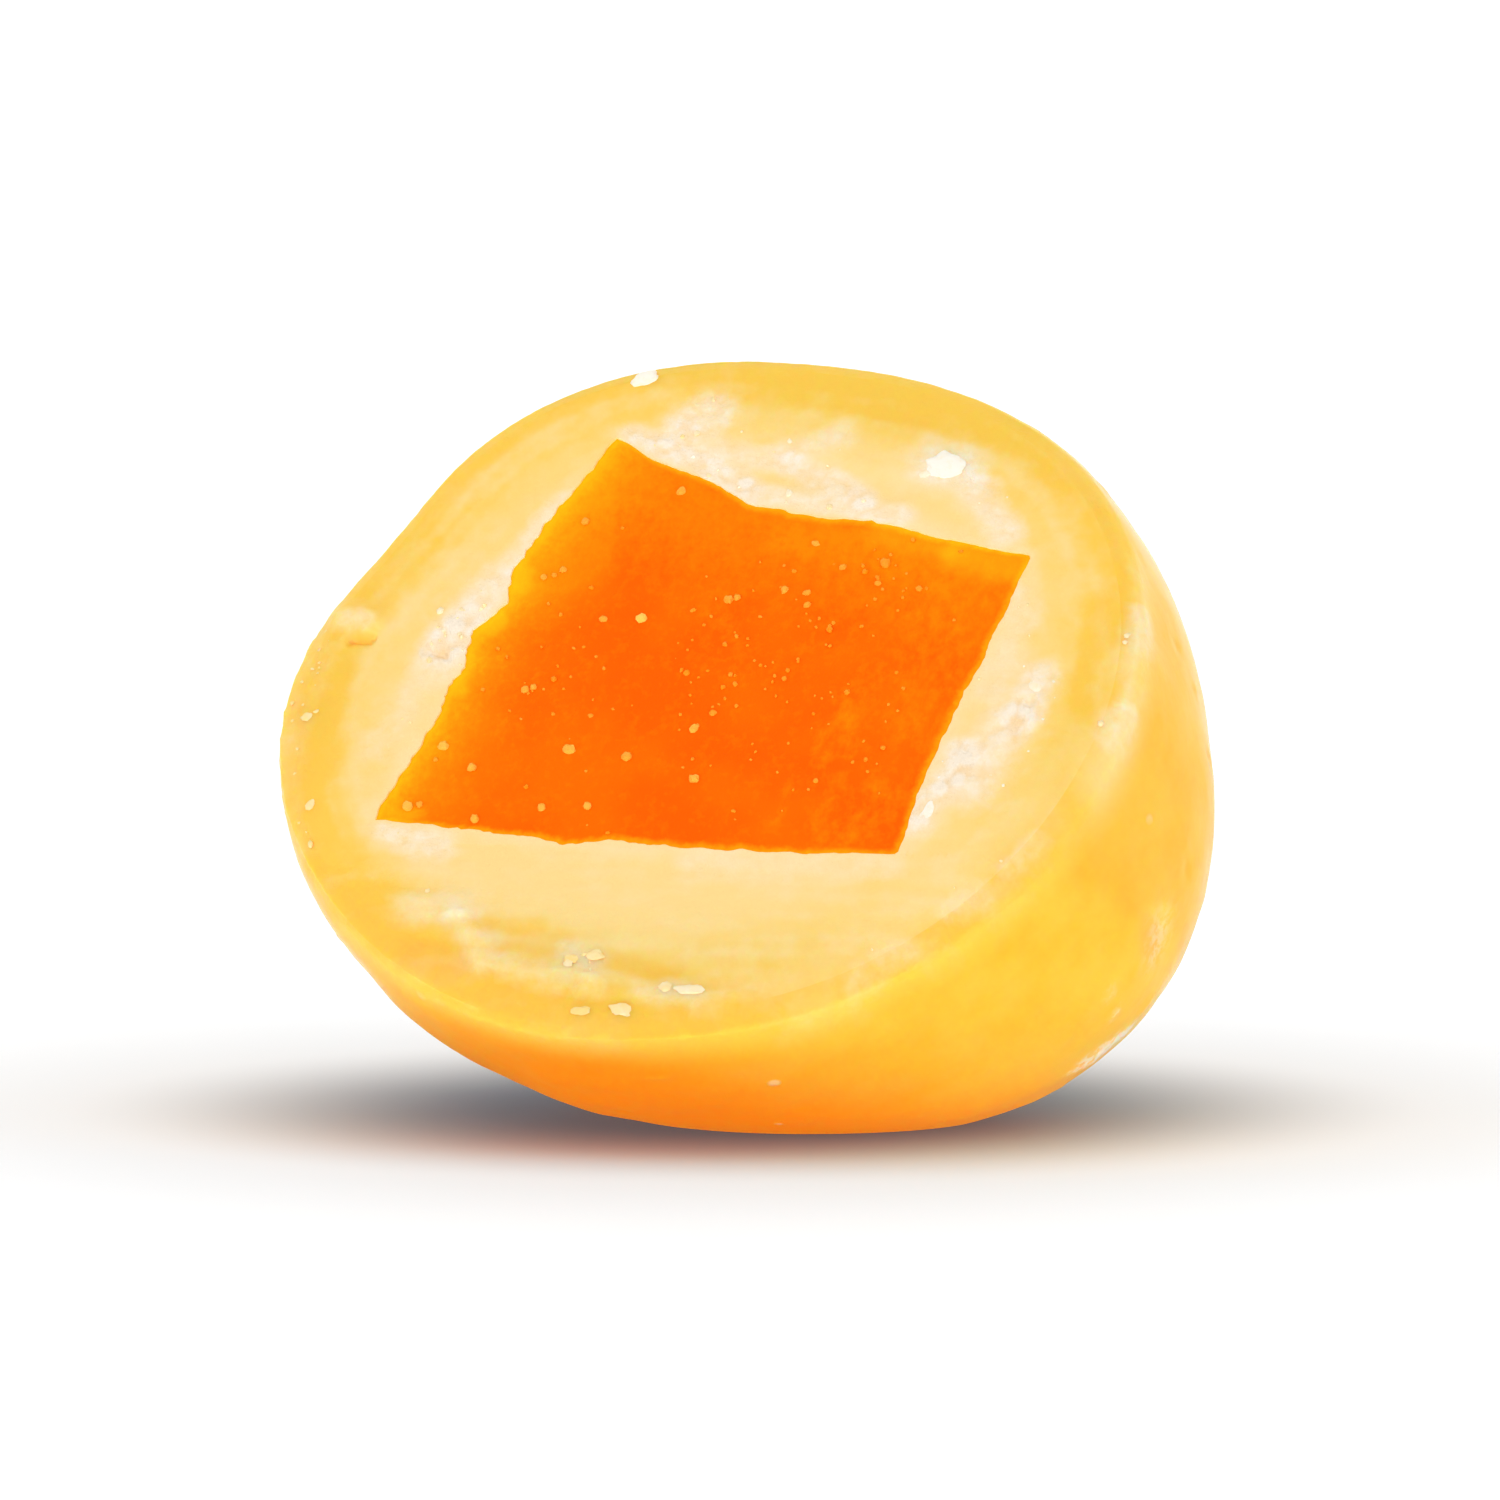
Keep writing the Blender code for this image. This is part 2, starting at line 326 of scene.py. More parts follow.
def skin_reach(towards):
    """Distance from the candy's middle to its skin along each row of directions in the knife's frame."""
    room = in_room(towards)
    own = room @ np.array(CANDY_TILT.to_matrix())
    reach = ((abs(own) / CANDY_HALF_SIZES) ** CANDY_SQUARENESS).sum(axis=1) ** (-1 / CANDY_SQUARENESS)
    for bump, spread, height in BUMPS:
        reach += height * np.exp(-(np.arccos(np.clip(room @ bump, -1, 1)) / spread) ** 2)
    down = room[:, 2] < 0
    to_rest = -CANDY_MIDDLE[2] / room[down, 2]
    blend = np.maximum(RESTING_BLEND - abs(reach[down] - to_rest), 0)
    reach[down] = np.minimum(reach[down], to_rest) - blend ** 2 / (4 * RESTING_BLEND)
    return reach


def rim_softness(turns):
    """How soft the rim is at each angle round the cut's axis, from 0 to 1."""
    away = (turns - SOFT_RIM_TURN + math.pi) % math.tau - math.pi
    return np.exp(-(away / SOFT_RIM_SPREAD) ** 2)


def coat_surface(towards):
    """The coat's surface along each row: the skin or the cut, with a soft rim between them."""
    reach = skin_reach(towards)
    ahead = towards[:, 2] > 0
    to_cut = CUT_HEIGHT / towards[ahead, 2]
    turns = np.arctan2(towards[ahead, 1], towards[ahead, 0])
    size = RIM_BLEND + (SOFT_RIM_BLEND - RIM_BLEND) * rim_softness(turns)
    blend = np.maximum(size - abs(reach[ahead] - to_cut), 0)
    reach[ahead] = np.minimum(reach[ahead], to_cut) - blend ** 2 / (4 * size)
    return towards * reach[:, None]


def from_cut_axis(turns, angles):
    """Unit rows at angles round the cut's axis and angles away from it."""
    aside = np.sin(angles)
    return np.stack((aside * np.cos(turns), aside * np.sin(turns), np.cos(angles)), axis=1)


def rim_angles(turns):
    """Angles from straight out of the cut to where it meets the skin, found by halving."""
    low = np.zeros_like(turns)
    high = np.full_like(turns, math.pi / 2)
    for _ in range(RIM_HALVINGS):
        middle = (low + high) / 2
        towards = from_cut_axis(turns, middle)
        inside = skin_reach(towards) * towards[:, 2] > CUT_HEIGHT
        low = np.where(inside, middle, low)
        high = np.where(inside, high, middle)
    return high


def pocket_outline():
    """Angles round the cut's axis and distances from it, along the pocket's ragged edge."""
    corners = np.array(POCKET_EDGE + POCKET_EDGE[:1]) * MM
    share = np.linspace(0, 1, EDGE_STEPS, endpoint=False)[:, None]
    edge = np.concatenate([start + (end - start) * share for start, end in zip(corners, corners[1:])])
    place = np.column_stack((edge, np.zeros(len(edge))))
    wander = lumps(place, 0.9, 0) + lumps(place, 0.37, 3) + 1.2 * lumps(place, 0.17, 5)
    on_left = step_between(-3.2, -4.4, edge[:, 0] / MM)
    ragged = EDGE_RAGGED + (LEFT_EDGE_RAGGED - EDGE_RAGGED) * on_left
    radii = np.hypot(edge[:, 0], edge[:, 1]) + wander * ragged
    turns = np.arctan2(edge[:, 1], edge[:, 0])
    order = np.argsort(turns)
    return turns[order], radii[order]


OUTLINE = pocket_outline()


def pocket_radius(turns):
    """Distance from the cut's axis to the pocket's edge at each angle."""
    return np.interp(turns, *OUTLINE, period=math.tau)


def from_pocket(points):
    """How far outside the pocket's edge each point of the cut is, in mm, measured from the cut's axis."""
    turns = np.arctan2(points[:, 1], points[:, 0])
    return (np.hypot(points[:, 0], points[:, 1]) - pocket_radius(turns)) / MM


def pocket_place(turns, parts, shares):
    """Points of the pocket's wall and floor, or of the papaya's own side and base."""
    edge = np.stack((np.cos(turns), np.sin(turns)), axis=1) * pocket_radius(turns)[:, None]
    side = parts == "side"
    taper = np.where(side, 1 + (POCKET_TAPER - 1) * shares, POCKET_TAPER * shares)
    flat = POCKET_MIDDLE + (edge - POCKET_MIDDLE) * taper[:, None]
    return np.column_stack((flat, CUT_HEIGHT - POCKET_DEPTH * np.where(side, shares, 1)))


def coat_place(turns, parts, shares):
    """Points of the coat: its skin, its cut, and the pocket in it."""
    points = pocket_place(turns, parts, shares)
    rims = rim_angles(turns)
    skin = parts == "skin"
    cut = parts == "cut"
    angles = math.pi - shares * (math.pi - rims)
    points[skin] = coat_surface(from_cut_axis(turns[skin], angles[skin]))
    rim_radii = CUT_HEIGHT * np.tan(rims)
    radii = rim_radii + (pocket_radius(turns) - rim_radii) * shares
    points[cut] = coat_surface(from_cut_axis(turns[cut], np.arctan2(radii[cut], CUT_HEIGHT)))
    return points


def turned(stations, place):
    """Spins a profile round the cut's axis, then presses every ring to its own outline.

    Each station is a part's name and a share along it. The first and last are poles. Gives the mesh with
    its points, the angle that each is at, and its station's part.
    """
    mesh = bmesh.new()
    layer = mesh.verts.layers.int.new("station")
    last = len(stations) - 1
    profile = []
    for index in range(last + 1):
        vertex = mesh.verts.new((0.0 if index in (0, last) else 1.0, 0.0, index))
        vertex[layer] = index
        profile.append(vertex)
    edges = [mesh.edges.new(pair) for pair in zip(profile, profile[1:])]
    bmesh.ops.spin(
        mesh,
        geom=profile + edges,
        axis=(0, 0, 1),
        cent=(0, 0, 0),
        angle=math.tau,
        steps=STEPS_ROUND,
        use_merge=True,
    )
    bmesh.ops.remove_doubles(mesh, verts=mesh.verts, dist=WELD_DISTANCE)
    numbers = np.array([vertex[layer] for vertex in mesh.verts])
    spun = np.array([vertex.co[:] for vertex in mesh.verts])
    step = math.tau / STEPS_ROUND
    turns = step * np.round(np.arctan2(spun[:, 1], spun[:, 0]) / step)
    parts = np.array([part for part, _ in stations])[numbers]
    points = place(turns, parts, np.array([share for _, share in stations])[numbers])
    put(mesh, points)
    bmesh.ops.recalc_face_normals(mesh, faces=mesh.faces)
    return mesh, points, turns, parts


def put(mesh, points):
    """Moves a mesh's vertices to these rows."""
    for vertex, point in zip(mesh.verts, points.tolist()):
        vertex.co = point


def add_measures(piece, measures):
    """Keeps numbers on a piece's points for its material to read."""
    for name, values in measures.items():
        attribute = piece.data.attributes.new(name, "FLOAT", "POINT")
        attribute.data.foreach_set("value", np.asarray(values, dtype=np.float32))


def set_down(name, mesh, material, sharp_angle):
    """An object from a bmesh in the knife's frame, moved into the candy's place and slope."""
    bmesh.ops.transform(mesh, matrix=Matrix.Translation(CANDY_MIDDLE) @ KNIFE.to_4x4(), verts=mesh.verts)
    data = bpy.data.meshes.new(name)
    mesh.to_mesh(data)
    mesh.free()
    data.shade_smooth()
    data.set_sharp_from_angle(angle=math.radians(sharp_angle))
    data.materials.append(material)
    piece = bpy.data.objects.new(name, data)
    bpy.context.scene.collection.objects.link(piece)
    return piece


class Value:
    """What a socket gives, so that sums on it add their own Math nodes."""

    def __init__(self, finish, socket):
        self.finish = finish
        self.socket = socket

    def sum(self, operation, first, second):
        return self.finish.node("ShaderNodeMath", {"operation": operation}, {0: first, 1: second})

    def __add__(self, other):
        return self.sum("ADD", self, other)

    def __radd__(self, other):
        return self.sum("ADD", other, self)

    def __sub__(self, other):
        return self.sum("SUBTRACT", self, other)

    def __rsub__(self, other):
        return self.sum("SUBTRACT", other, self)

    def __mul__(self, other):
        return self.sum("MULTIPLY", self, other)

    def __rmul__(self, other):
        return self.sum("MULTIPLY", other, self)

    def over(self, low, high):
        """0 below low, 1 above high, and smooth between them."""
        return self.finish.node(
            "ShaderNodeMapRange",
            {"interpolation_type": "SMOOTHSTEP"},
            {"Value": self, "From Min": low, "From Max": high},
        )

    def limited(self):
        """Held between 0 and 1."""
        return self.finish.node("ShaderNodeClamp", {}, {"Value": self})


class Finish:
    """A material or a sky in the making. Its nodes come from its node method."""

    def __init__(self, owner):
        owner.use_nodes = True
        self.owner = owner
        self.tree = owner.node_tree
        self.output = self.tree.get_output_node("ALL")
        for node in list(self.tree.nodes):
            if node != self.output:
                self.tree.nodes.remove(node)

    def node(self, kind, settings, sockets, output=0):
        """Adds a node: its settings first, then its sockets' values or links. Gives one of its outputs."""
        node = self.tree.nodes.new(kind)
        for name, setting in settings.items():
            setattr(node, name, setting)
        for name, value in sockets.items():
            self.plug(node.inputs[name], value)
        return Value(self, node.outputs[output])

    def plug(self, socket, value):
        """Links a value into a socket, or sets the socket to a plain one."""
        if isinstance(value, Value):
            self.tree.links.new(value.socket, socket)
        elif socket.type == "RGBA" and len(value) == 3:
            socket.default_value = (*value, 1)
        else:
            socket.default_value = value

    def measure(self, name):
        """A number kept on the mesh's points."""
        return self.node("ShaderNodeAttribute", {"attribute_name": name}, {}, "Fac")

    def in_mm(self):
        """Object coordinates in millimetres."""
        place = self.node("ShaderNodeTexCoord", {}, {}, "Object")
        return self.node("ShaderNodeMapping", {}, {"Vector": place, "Scale": (1 / MM, 1 / MM, 1 / MM)})

    def mix(self, factor, first, second):
        """A colour between two others. The node's sockets for colours are 6, 7 and output 2."""
        return self.node("ShaderNodeMix", {"data_type": "RGBA"}, {0: factor, 6: first, 7: second}, 2)

    def grain(self, place, size, detail=2.0, roughness=0.5):
        """Noise whose lumps are about this many millimetres."""
        return self.node(
            "ShaderNodeTexNoise",
            {},
            {"Vector": place, "Scale": 1 / size, "Detail": detail, "Roughness": roughness},
            "Fac",
        )

    def dots(self, place, spacing):
        """Distance from scattered points, in shares of their spacing."""
        return self.node("ShaderNodeTexVoronoi", {}, {"Vector": place, "Scale": 1 / spacing}, "Distance")

    def relief(self, height_mm):
        """A normal bumped by a height given in millimetres."""
        return self.node("ShaderNodeBump", {}, {"Height": height_mm, "Distance": MM, "Strength": 1.0})

    def principled(self, **sockets):
        """A Principled shader, its sockets named with underscores for spaces."""
        named = {name.replace("_", " "): value for name, value in sockets.items()}
        return self.node("ShaderNodeBsdfPrincipled", {}, named)

    def shown(self, shader):
        """Puts the shader on the surface, and gives the finished material or sky."""
        self.plug(self.output.inputs["Surface"], shader)
        return self.owner


SKIN_COLOUR = (0.98, 0.505, 0.038)
SKIN_PALE = (0.98, 0.565, 0.070)
SKIN_PAINTED_SHADE = (0.98, 0.300, 0.004)
BAND_COLOUR = (0.98, 0.622, 0.106)
MIDDLE_COLOUR = (0.98, 0.680, 0.215)
CREAM_COLOUR = (0.98, 0.715, 0.305)
WHITE_COLOUR = (1.0, 0.880, 0.720)
TINT_COLOUR = (0.98, 0.590, 0.110)
CREVICE_SHADE_COLOUR = (0.98, 0.600, 0.170)
DIMPLE_COLOUR = (0.42, 0.16, 0.03)
PAINTED_GLOW_AT_FOOT = (0.34, 0.070, 0.0)


def coat_finish():
    """Waxy yogurt coating: tinted at the skin, paler towards the papaya, with flecks and scuffs.

    Painted on it too: glints and rim light, shade low on the skin and between crumbs, and a glow at the
    foot.
    """
    coat = Finish(bpy.data.materials.new("yogurt_coat"))
    place = coat.in_mm()
    depth = coat.measure("under_skin")
    gap = coat.measure("from_papaya")
    cut = coat.measure("on_cut")
    pale = coat.measure("pale")
    tint = coat.measure("tint")
    crumbs = coat.measure("crumbs")
    layer = coat.measure("layer")
    scuff_and_glint = coat.measure("scuff_and_glint")
    dimple = coat.measure("dimple")
    painted_low_shade = coat.measure("painted_low_shade")
    foot = coat.measure("foot")

    mottle = coat.grain(place, 1.6, 3.0, 0.6)
    clouds = coat.grain(place, 4.5, 2.0, 0.5)
    soft = coat.grain(place, 0.5, 2.0, 0.5)
    fine = coat.grain(place, 0.22, 3.0, 0.6)
    powder = coat.grain(place, 0.10, 4.0, 0.65)

    skin = coat.mix((mottle * 0.6 + clouds * 0.6).over(0.46, 0.82), SKIN_COLOUR, SKIN_PALE)
    # Painted shade: the skin turns deeper orange towards the bottom, and more so on the left
    skin = coat.mix(painted_low_shade, skin, SKIN_PAINTED_SHADE)
    flecks = 1.0 - coat.dots(place, 1.6).over(0.05, 0.11)
    fleck = flecks * coat.grain(place, 2.4).over(0.55, 0.65)
    # Pale rubbed places of the skin, with painted glints and painted rim light among them
    rubbed_and_glinting = scuff_and_glint * (0.2 + fine.over(0.40, 0.60) * 0.7)
    skin = coat.mix((fleck * 0.35 + rubbed_and_glinting).limited(), skin, WHITE_COLOUR)
    skin = coat.mix(dimple, skin, DIMPLE_COLOUR)

    uneven = (mottle - 0.5) * 0.9 + (soft - 0.5) * 0.9 + (fine - 0.5) * 0.3
    wander = depth + layer * 0.6 + uneven - tint * 1.4
    face = coat.mix(wander.over(0.4, 1.5), BAND_COLOUR, MIDDLE_COLOUR)
    face = coat.mix(wander.over(1.1, 2.7), face, CREAM_COLOUR)
    face = coat.mix((tint * 0.8).limited(), face, TINT_COLOUR)
    near = (1.0 - gap.over(0.0, 0.7)) * 0.15 + layer * 0.18 + (soft - 0.5) * 0.25
    whiteness = (pale * (0.85 + (fine - 0.5) * 1.2) + near).limited()
    face = coat.mix(whiteness, face, WHITE_COLOUR)
    # Painted shade in the hollows between the crumbs of the pale places
    face = coat.mix(((0.35 - crumbs) * pale * 0.9).limited(), face, CREVICE_SHADE_COLOUR)
    colour = coat.mix(cut, skin, face)

    skin_grain = (soft - 0.5) * 0.012 + (fine - 0.5) * 0.004 + fleck * 0.03
    cut_grain = (powder - 0.5) * (0.016 + pale * 0.022) + (fine - 0.5) * 0.02
    grain = coat.relief(skin_grain + cut * (cut_grain - skin_grain))
    wax = coat.principled(
        Base_Color=colour,
        Roughness=0.40 + (mottle - 0.5) * 0.12,
        Normal=grain,
        IOR=1.45,
        Subsurface_Weight=1.0,
        Subsurface_Radius=(1.0, 0.30, 0.12),
        Subsurface_Scale=1.2 * MM,
        Specular_IOR_Level=0.16,
        Coat_Weight=(1.0 - cut) * (1.0 - painted_low_shade) * 0.5,
        Coat_Roughness=0.12,
        Coat_IOR=1.14,
        # Painted glow: the coat gives off orange light at its foot, standing in for light that comes
        # through it
        Emission_Color=coat.mix(foot, (0, 0, 0), PAINTED_GLOW_AT_FOOT),
        Emission_Strength=1.0,
    )
    crumb = coat.principled(
        Base_Color=colour,
        Roughness=0.60 + (fine - 0.5) * 0.2,
        Normal=grain,
        IOR=1.45,
        Specular_IOR_Level=0.15,
    )
    dry = (1.0 - gap.over(1.2, 3.0)) * cut
    return coat.shown(coat.node("ShaderNodeMixShader", {}, {0: dry, 1: wax, 2: crumb}))


SKIN_STATIONS = [("skin", (ring / SKIN_RINGS) ** 0.9) for ring in range(SKIN_RINGS + 1)]
CUT_STATIONS = [("cut", (ring / CUT_RINGS) ** 1.1) for ring in range(1, CUT_RINGS + 1)]
WALL_STATIONS = [("side", ring / POCKET_RINGS) for ring in range(1, POCKET_RINGS + 1)]
BASE_STATIONS = [("base", share) for share in (0.6, 0.0)]


def skin_relief(points, dimples, scuffs_and_glints):
    """Height of the skin's unevenness, in mm."""
    height = 0.075 * lumps(points, 3.0, 0) + 0.035 * lumps(points, 1.1, 7) + 0.010 * lumps(points, 0.42, 5)
    height += 0.16 * np.maximum(lumps(points, 0.6, 3) - 0.52, 0)
    height -= 0.20 * np.maximum(lumps(points, 0.7, 11) - 0.55, 0)
    return height - 0.22 * dimples + scuffs_and_glints


def cut_relief(points, layer, crumbs, crumbling):
    """Height of the knife's marks and the crumbling on the cut, in mm."""
    height = strokes(points, RIDGES)[:, 0] + 0.022 * layer
    height += (0.008 + 0.050 * crumbling) * crumbs
    height += (0.010 + 0.028 * crumbling) * crumble(points, 0.38, 0)
    return height * step_between(-0.02, 0.2, from_pocket(points))


# Where the cut's look fades into the skin's: heights over the cut in mm, with the end at the soft rim too
FADE_STARTS = -0.07
FADE_ENDS = -0.9
SOFT_FADE_ENDS = -1.5

# The distance from the papaya that all of the skin is given, and the height of the smooth foot, in mm
SKIN_FROM_PAPAYA = 6.0
SMOOTH_FOOT = 0.5


def yogurt_coat():
    """The coat with both layers, the cut, and the papaya's pocket."""
    stations = SKIN_STATIONS + CUT_STATIONS + WALL_STATIONS + BASE_STATIONS
    mesh, points, turns, parts = turned(stations, coat_place)
    mesh.normal_update()
    outward = np.array([vertex.normal[:] for vertex in mesh.verts])
    length = np.linalg.norm(points, axis=1)
    towards = points / length[:, None]
    outside = np.isin(parts, ("skin", "cut"))
    fade_ends = FADE_ENDS + (SOFT_FADE_ENDS - FADE_ENDS) * rim_softness(turns)
    above_cut = (points[:, 2] - CUT_HEIGHT) / MM
    cut = np.where(outside, step_between(fade_ends, FADE_STARTS, above_cut), 1)
    gap = np.where(parts == "cut", np.maximum(from_pocket(points), 0), 0)
    depth = np.where(parts == "skin", 0, (skin_reach(towards) - length) / MM)
    room = (in_room(points) + CANDY_MIDDLE) / MM
    height = room[:, 2]

    dimples = scuffs_and_glints = scuff_heights = np.zeros(len(points))
    for turn, rise, radius in DIMPLES:
        dimples = dimples + np.exp(-(from_middle(towards, turn, rise) * length / (radius * MM)) ** 2)
    for turn, rise, radius, scuff_height, paleness in SCUFFS_AND_GLINTS:
        scuff_and_glint = np.exp(-(from_middle(towards, turn, rise) * length / (radius * MM)) ** 2)
        scuffs_and_glints = scuffs_and_glints + scuff_and_glint * paleness
        scuff_heights = scuff_heights + scuff_and_glint * scuff_height

    pale, crumbling, tint, crumbs, layer = np.zeros((5, len(points)))
    knifed = outside & (cut > 0)
    on_cut = points[knifed]
    pale[knifed], crumbling[knifed] = strokes(on_cut, PALE_STROKES_AND_HIGHLIGHTS).T
    tint[knifed] = strokes(on_cut, TINT_AND_SHADE_STROKES)[:, 0]
    crumbs[knifed] = grains(on_cut, 0.34, 0)
    layer[knifed] = 0.7 * layers(on_cut, depth[knifed], 0.6, 2)
    layer[knifed] += 0.4 * layers(on_cut, depth[knifed], 0.25, 9)

    lift = np.zeros(len(points))
    lift[knifed] = cut_relief(on_cut, layer[knifed], crumbs[knifed], crumbling[knifed]) * cut[knifed]
    skin = outside & (cut < 1)
    lift[skin] += skin_relief(points[skin], dimples[skin], scuff_heights[skin]) * (1 - cut[skin])
    lift *= step_between(0.0, SMOOTH_FOOT, height) * MM
    put(mesh, points + outward * lift[:, None])
    piece = set_down("yogurt_coat", mesh, coat_finish(), sharp_angle=40)
    measures = {
        "under_skin": depth,
        "from_papaya": np.where(parts == "skin", SKIN_FROM_PAPAYA, gap),
        "on_cut": cut,
        "pale": pale,
        "tint": tint,
        "crumbs": crumbs,
        "layer": layer,
        "scuff_and_glint": np.clip(scuffs_and_glints, 0, 1) * (1 - cut),
        "dimple": np.clip(dimples * (0.8 + 0.5 * lumps(points, 0.4, 1)), 0, 1) * 0.55,
        # Painted shade low on the skin, reaching higher on the left
        "painted_low_shade": 1 - step_between(0.3, 3.2, height + 0.3 * np.clip(room[:, 0], -3.5, 4)),
        # Where the painted glow at the foot shows
        "foot": 1 - step_between(0.0, 2.2, height),
    }
    add_measures(piece, measures)
    return piece


coat = yogurt_coat()
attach(coat, "root")
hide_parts("tinted_coat", "pale_coat")

# Papaya dice
# A dice of candied papaya, a firm and translucent orange jelly with sugar in it. The knife cut it level
# with the coats that were rolled on round it, which hold it in its pocket.

# Its cut face lies a little below the coat's, and rounds off at its edge. Its left margin is amber, partly
# painted light that comes through its thin edge.
CORE_SINK = 0.02 * MM
CORE_EDGE_ROUND = 0.03 * MM
CORE_EDGE_WIDTH = 0.12 * MM
CORE_FACE_RINGS = 70
AMBER_MARGIN_MM = 0.7

CORE_COLOUR = (0.97, 0.182, 0.001)
CORE_LIGHT = (0.97, 0.280, 0.002)
CORE_FACET_LIT = (0.97, 0.310, 0.002)
CORE_AMBER_LIT = (0.97, 0.560, 0.010)
CORE_DEEP = (0.97, 0.148, 0.001)

# Left of this line, from the upper left corner down, the dice's old side slopes away and is painted lighter
# as
# it is lit: across and up in mm
FACET_LINE = ((-3.12, 5.9), (-2.60, 2.4))

# Places where the papaya thins out to amber, partly painted light through its thin edge, and paler drags of
# the knife: from, to, half width, strength
AMBER_STROKES = (
    ((-4.85, 2.7), (-4.75, 2.2), 0.22, 0.7),
    ((-5.45, 1.1), (-5.15, 1.3), 0.25, 0.7),
    ((-5.75, -0.2), (-5.6, -0.5), 0.22, 0.6),
    ((3.0, 3.75), (4.4, 3.35), 0.34, 0.30),
    ((4.6, 3.25), (5.9, 2.9), 0.40, 0.42),
    ((-6.6, -3.7), (-6.1, -3.7), 0.22, 0.4),
)
LIGHT_STROKES = (
    ((3.2, 0.1), (2.4, -2.1), 0.30, 0.5),
    ((3.0, -2.0), (3.1, -0.9), 0.16, 0.5),
    ((1.6, 0.7), (2.2, 1.4), 0.16, 0.4),
    ((0.9, 3.6), (3.4, 3.1), 0.50, 0.5),
    ((-0.4, 1.9), (0.1, 0.2), 0.40, 0.3),
    ((4.6, 2.2), (4.4, -1.0), 0.90, 0.4),
    ((4.0, -3.0), (3.2, -4.2), 0.60, 0.5),
    ((2.6, -3.9), (2.9, -2.6), 0.22, 0.4),
    ((1.6, -3.8), (1.9, -2.9), 0.16, 0.3),
)


def core_place(turns, parts, shares):
    """Points of the papaya: its base, its side, and its cut face."""
    points = pocket_place(turns, parts, shares)
    face = parts == "face"
    edge = pocket_radius(turns[face])
    inward = edge * shares[face]
    sink = CORE_SINK + CORE_EDGE_ROUND * np.exp(-inward / CORE_EDGE_WIDTH)
    rows = np.stack((np.cos(turns[face]), np.sin(turns[face])), axis=1) * (edge - inward)[:, None]
    points[face] = np.column_stack((rows, CUT_HEIGHT - sink))
    return points


def left_of_facet(points):
    """How far left of the facet's line each point of the cut is, in mm."""
    across, up, _ = points.T / MM
    (top_across, top_up), (low_across, low_up) = FACET_LINE
    line = low_across + (top_across - low_across) * (up - low_up) / (top_up - low_up)
    return line - across


def core_relief(points, facet):
    """Height of the papaya's cut face, in mm: a shallow facet on its left, and the knife's drag."""
    height = -0.06 * np.minimum(facet, 1.5)
    height += 0.03 * lumps(points, 2.0, 4) + 0.012 * crumble(points, 0.45, 0)
    return height * step_between(0.0, 0.3, -from_pocket(points))


def core_finish():
    """Candied papaya: saturated orange, amber where it thins out, partly painted light through its thin
    edges, with a painted lighter facet and the knife's fine drag across it.
    """
    core = Finish(bpy.data.materials.new("papaya_dice"))
    place = core.in_mm()
    edge = core.measure("from_edge")
    left = core.measure("left")
    top = core.measure("top")
    facet = core.measure("facet")
    amber = core.measure("amber")
    light = core.measure("light")
    drag = core.node(
        "ShaderNodeMapping",
        {},
        {"Vector": place, "Rotation": (0, math.radians(32), 0), "Scale": (1, 1, 0.3)},
    )
    cloud = core.grain(place, 2.2, 2.0, 0.5)
    fibre = core.grain(drag, 0.30, 3.0, 0.6)
    fine = core.grain(place, 0.14, 3.0, 0.6)
    colour = core.mix(cloud.over(0.35, 0.68), CORE_DEEP, CORE_COLOUR)
    paler = light * (0.6 + (fibre - 0.5) * 2.0) + top * 0.6 + (fibre - 0.5) * 0.9 + (fine - 0.5) * 0.8
    colour = core.mix(paler.limited(), colour, CORE_LIGHT)
    # Painted light: the sloping facet is lighter
    colour = core.mix((facet.over(0.0, 0.16) * 0.38 + facet * 0.1).limited(), colour, CORE_FACET_LIT)
    # The amber left margin, partly painted light through its thin edge
    margin = left * (0.85 + (fine - 0.5) * 0.7 + (fibre - 0.5) * 0.5)
    colour = core.mix(margin.limited(), colour, CORE_AMBER_LIT)
    # Painted light round the edge of the face, where light comes through the coat, and the amber strokes
    wander = edge + (fine - 0.5) * 0.2
    colour = core.mix(((1.0 - wander.over(0.0, 0.24)) * 0.6 + amber).limited(), colour, CORE_AMBER_LIT)
    return core.shown(
        core.principled(
            Base_Color=colour,
            Roughness=0.36 + (fine - 0.5) * 0.2,
            Normal=core.relief((fine - 0.5) * 0.012 + (fibre - 0.5) * 0.02),
            IOR=1.48,
            Specular_IOR_Level=0.04,
        )
    )


def papaya_dice():
    """The papaya dice, its cut face in fine rings."""
    base = [("base", share) for share in (0.0, 0.6)]
    side = [("side", ring / POCKET_RINGS) for ring in range(POCKET_RINGS, 0, -1)] + [("side", 0.03)]
    face = [("face", (ring / CORE_FACE_RINGS) ** 1.3) for ring in range(CORE_FACE_RINGS + 1)]
    mesh, points, turns, parts = turned(base + side + face, core_place)
    across, up, _ = points.T / MM
    on_face = parts == "face"
    facet = np.maximum(left_of_facet(points), 0) * step_between(1.6, 4.6, up) * on_face
    edge_across, edge_up = np.array(LEFT_EDGE + TOP_EDGE[:1]).T
    left_side = np.interp(up, edge_up, edge_across)
    lift = np.where(on_face, core_relief(points, facet), 0) * MM
    put(mesh, points + np.outer(lift, (0, 0, 1)))
    piece = set_down("papaya_dice", mesh, core_finish(), sharp_angle=40)
    measures = {
        "from_edge": np.where(on_face, np.maximum(-from_pocket(points), 0), 0),
        "left": np.exp(-np.maximum(across - left_side, 0) / AMBER_MARGIN_MM),
        "top": step_between(1.2, 4.4, up + 0.29 * across),
        "facet": facet,
        "amber": strokes(points, AMBER_STROKES)[:, 0] * on_face,
        "light": strokes(points, LIGHT_STROKES)[:, 0] * on_face,
    }
    add_measures(piece, measures)
    return piece


